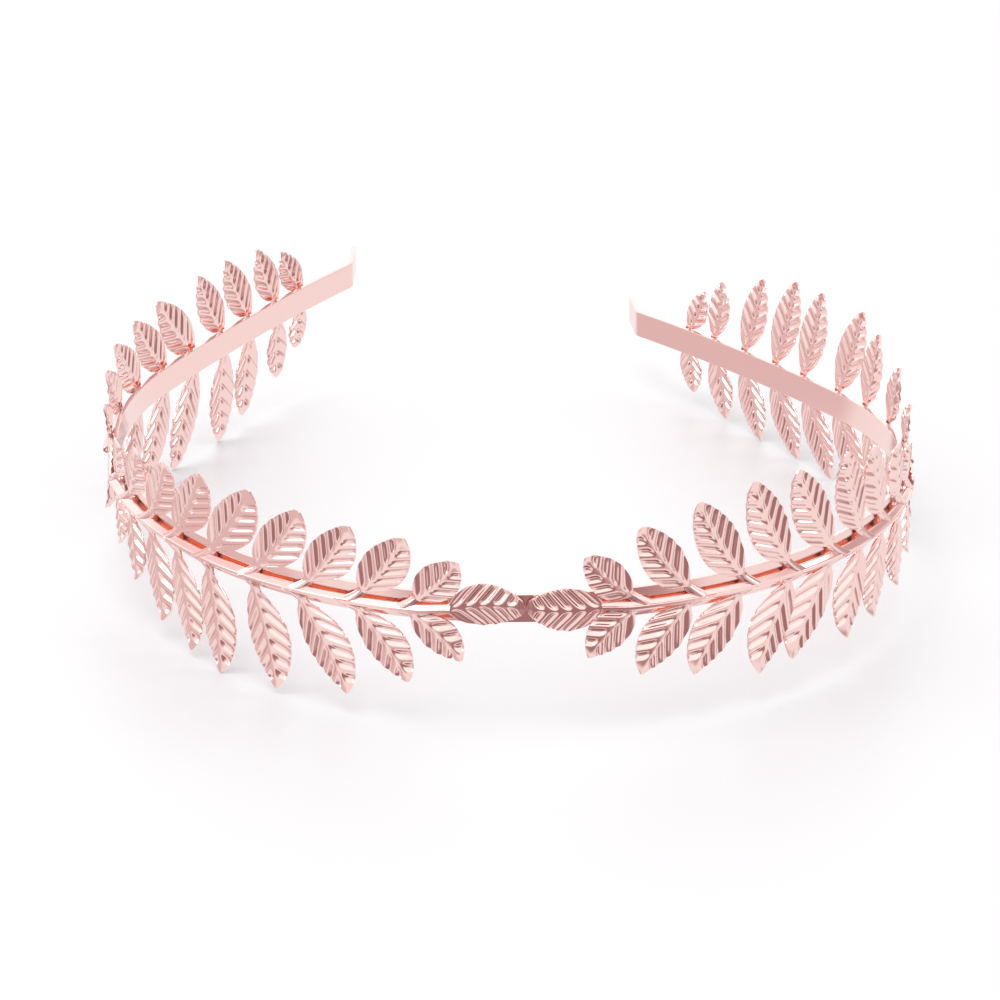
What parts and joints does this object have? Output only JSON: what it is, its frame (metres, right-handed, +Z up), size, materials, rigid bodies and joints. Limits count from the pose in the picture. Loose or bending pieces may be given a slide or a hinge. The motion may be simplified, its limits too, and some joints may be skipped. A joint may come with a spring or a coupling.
{
  "type": "leaf headband",
  "caption": "Open springy hoop for the head with stamped leaf sprigs along its outer face, leaves standing up and hanging down, the sprig tips meeting at the centre of the front.",
  "frame": {"origin": "centre of the outer box in X and Y, on the surface the headband lies on", "axes": "+Z up as it lies on its leaf tips, -Y towards the front where the sprig tips meet, +Y towards the open ends, X across the head"},
  "size_m": [0.1459, 0.1624, 0.0415],
  "materials": {
    "band_metal": "polished rose gold plating",
    "leaf_metal": "polished rose gold plating"
  },
  "bodies": {
    "root": {"hair_band": "band_metal", "front_left_sprig": "leaf_metal", "front_right_sprig": "leaf_metal", "back_left_sprig": "leaf_metal", "back_right_sprig": "leaf_metal"}
  },
  "joints": []
}
